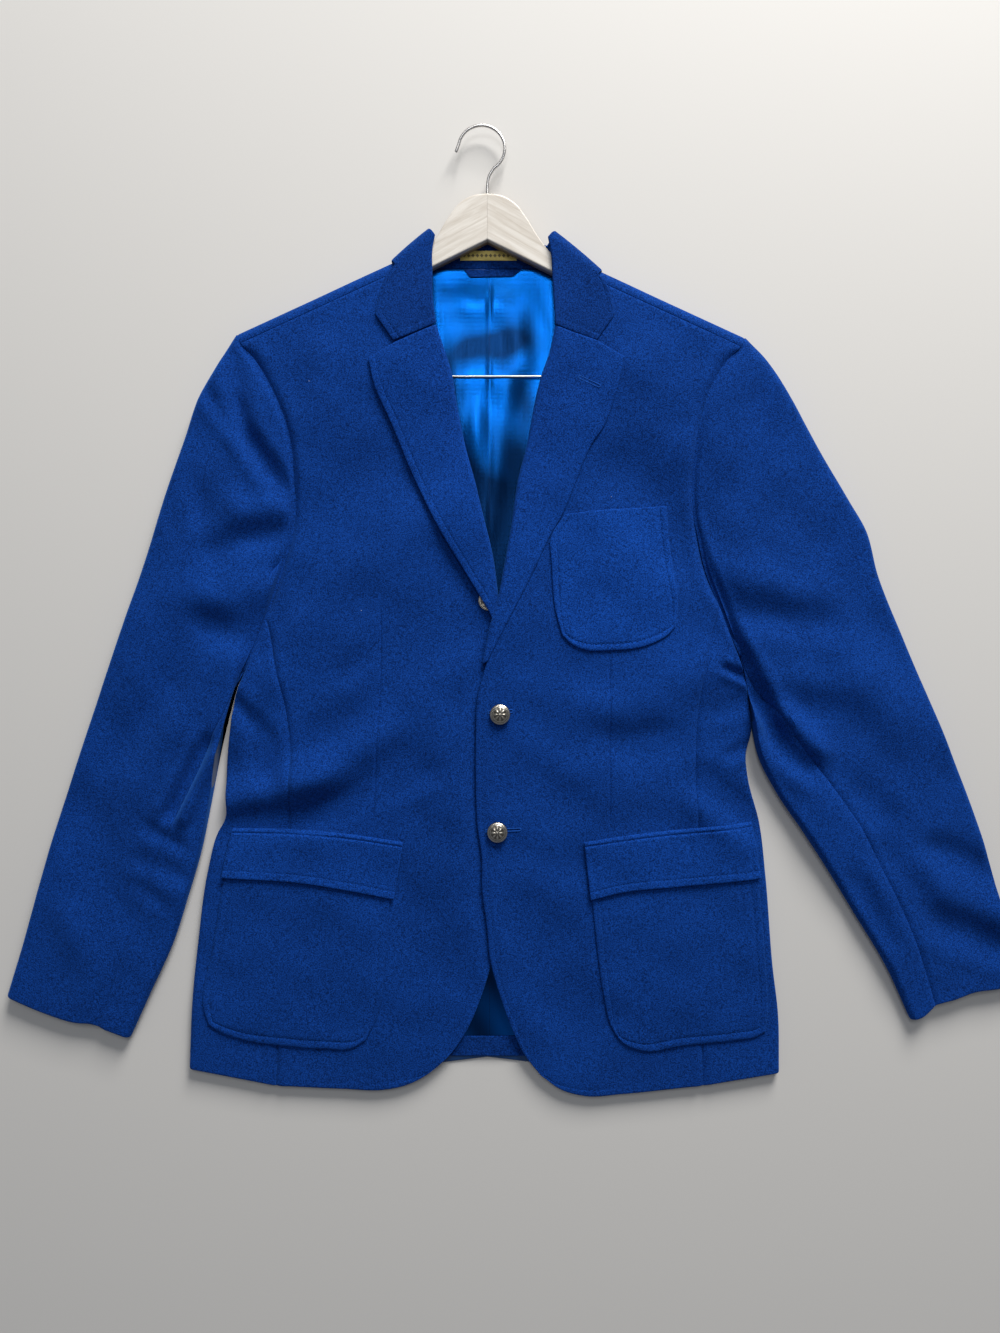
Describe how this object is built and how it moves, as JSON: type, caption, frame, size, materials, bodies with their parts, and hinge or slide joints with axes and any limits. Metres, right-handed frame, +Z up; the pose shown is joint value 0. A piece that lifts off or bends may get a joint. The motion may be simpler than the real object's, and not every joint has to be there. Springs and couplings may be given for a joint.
{
  "type": "single breasted blazer on a wooden hanger",
  "caption": "Navy wool single breasted blazer laid flat, face up, with notch lapels, patch pockets, satin lining and a wooden hanger inside.",
  "frame": {"origin": "middle of the whole part's footprint, on the surface that the back rests on", "axes": "+Z up out of the fronts, +Y from the hem towards the collar and the hook, +X towards the wearer's left sleeve"},
  "size_m": [0.964, 0.9256, 0.0235],
  "materials": {
    "wool": "matt navy wool flannel",
    "satin": "bright blue lining satin",
    "label_weave": "gold woven label, plain",
    "hanger_wood": "pale lacquered wood",
    "hook_steel": "bright steel wire",
    "button_metal": "antique pewter-brass, domed"
  },
  "bodies": {
    "root": {"back_left": "wool", "side_left": "wool", "front_left": "wool", "lapel_left": "wool", "top_sleeve_left": "wool", "under_sleeve_left": "wool", "back_right": "wool", "side_right": "wool", "front_right": "wool", "lapel_right": "wool", "top_sleeve_right": "wool", "under_sleeve_right": "wool", "collar": "wool", "collar_stand": "wool", "chest_pocket": "wool", "hip_pocket_left": "wool", "hip_pocket_right": "wool", "flap_left": "wool", "flap_right": "wool", "hem_turnup": "wool", "hanging_loop": "wool", "lining_left": "satin", "lining_right": "satin", "label": "label_weave", "hanger_arm_left": "hanger_wood", "hanger_arm_right": "hanger_wood", "hanger_hook": "hook_steel", "trouser_bar": "hook_steel", "trouser_bar_end_left": "hook_steel", "trouser_bar_end_right": "hook_steel", "button_upper": "button_metal", "button_lower": "button_metal", "button_roll": "button_metal"}
  },
  "joints": []
}
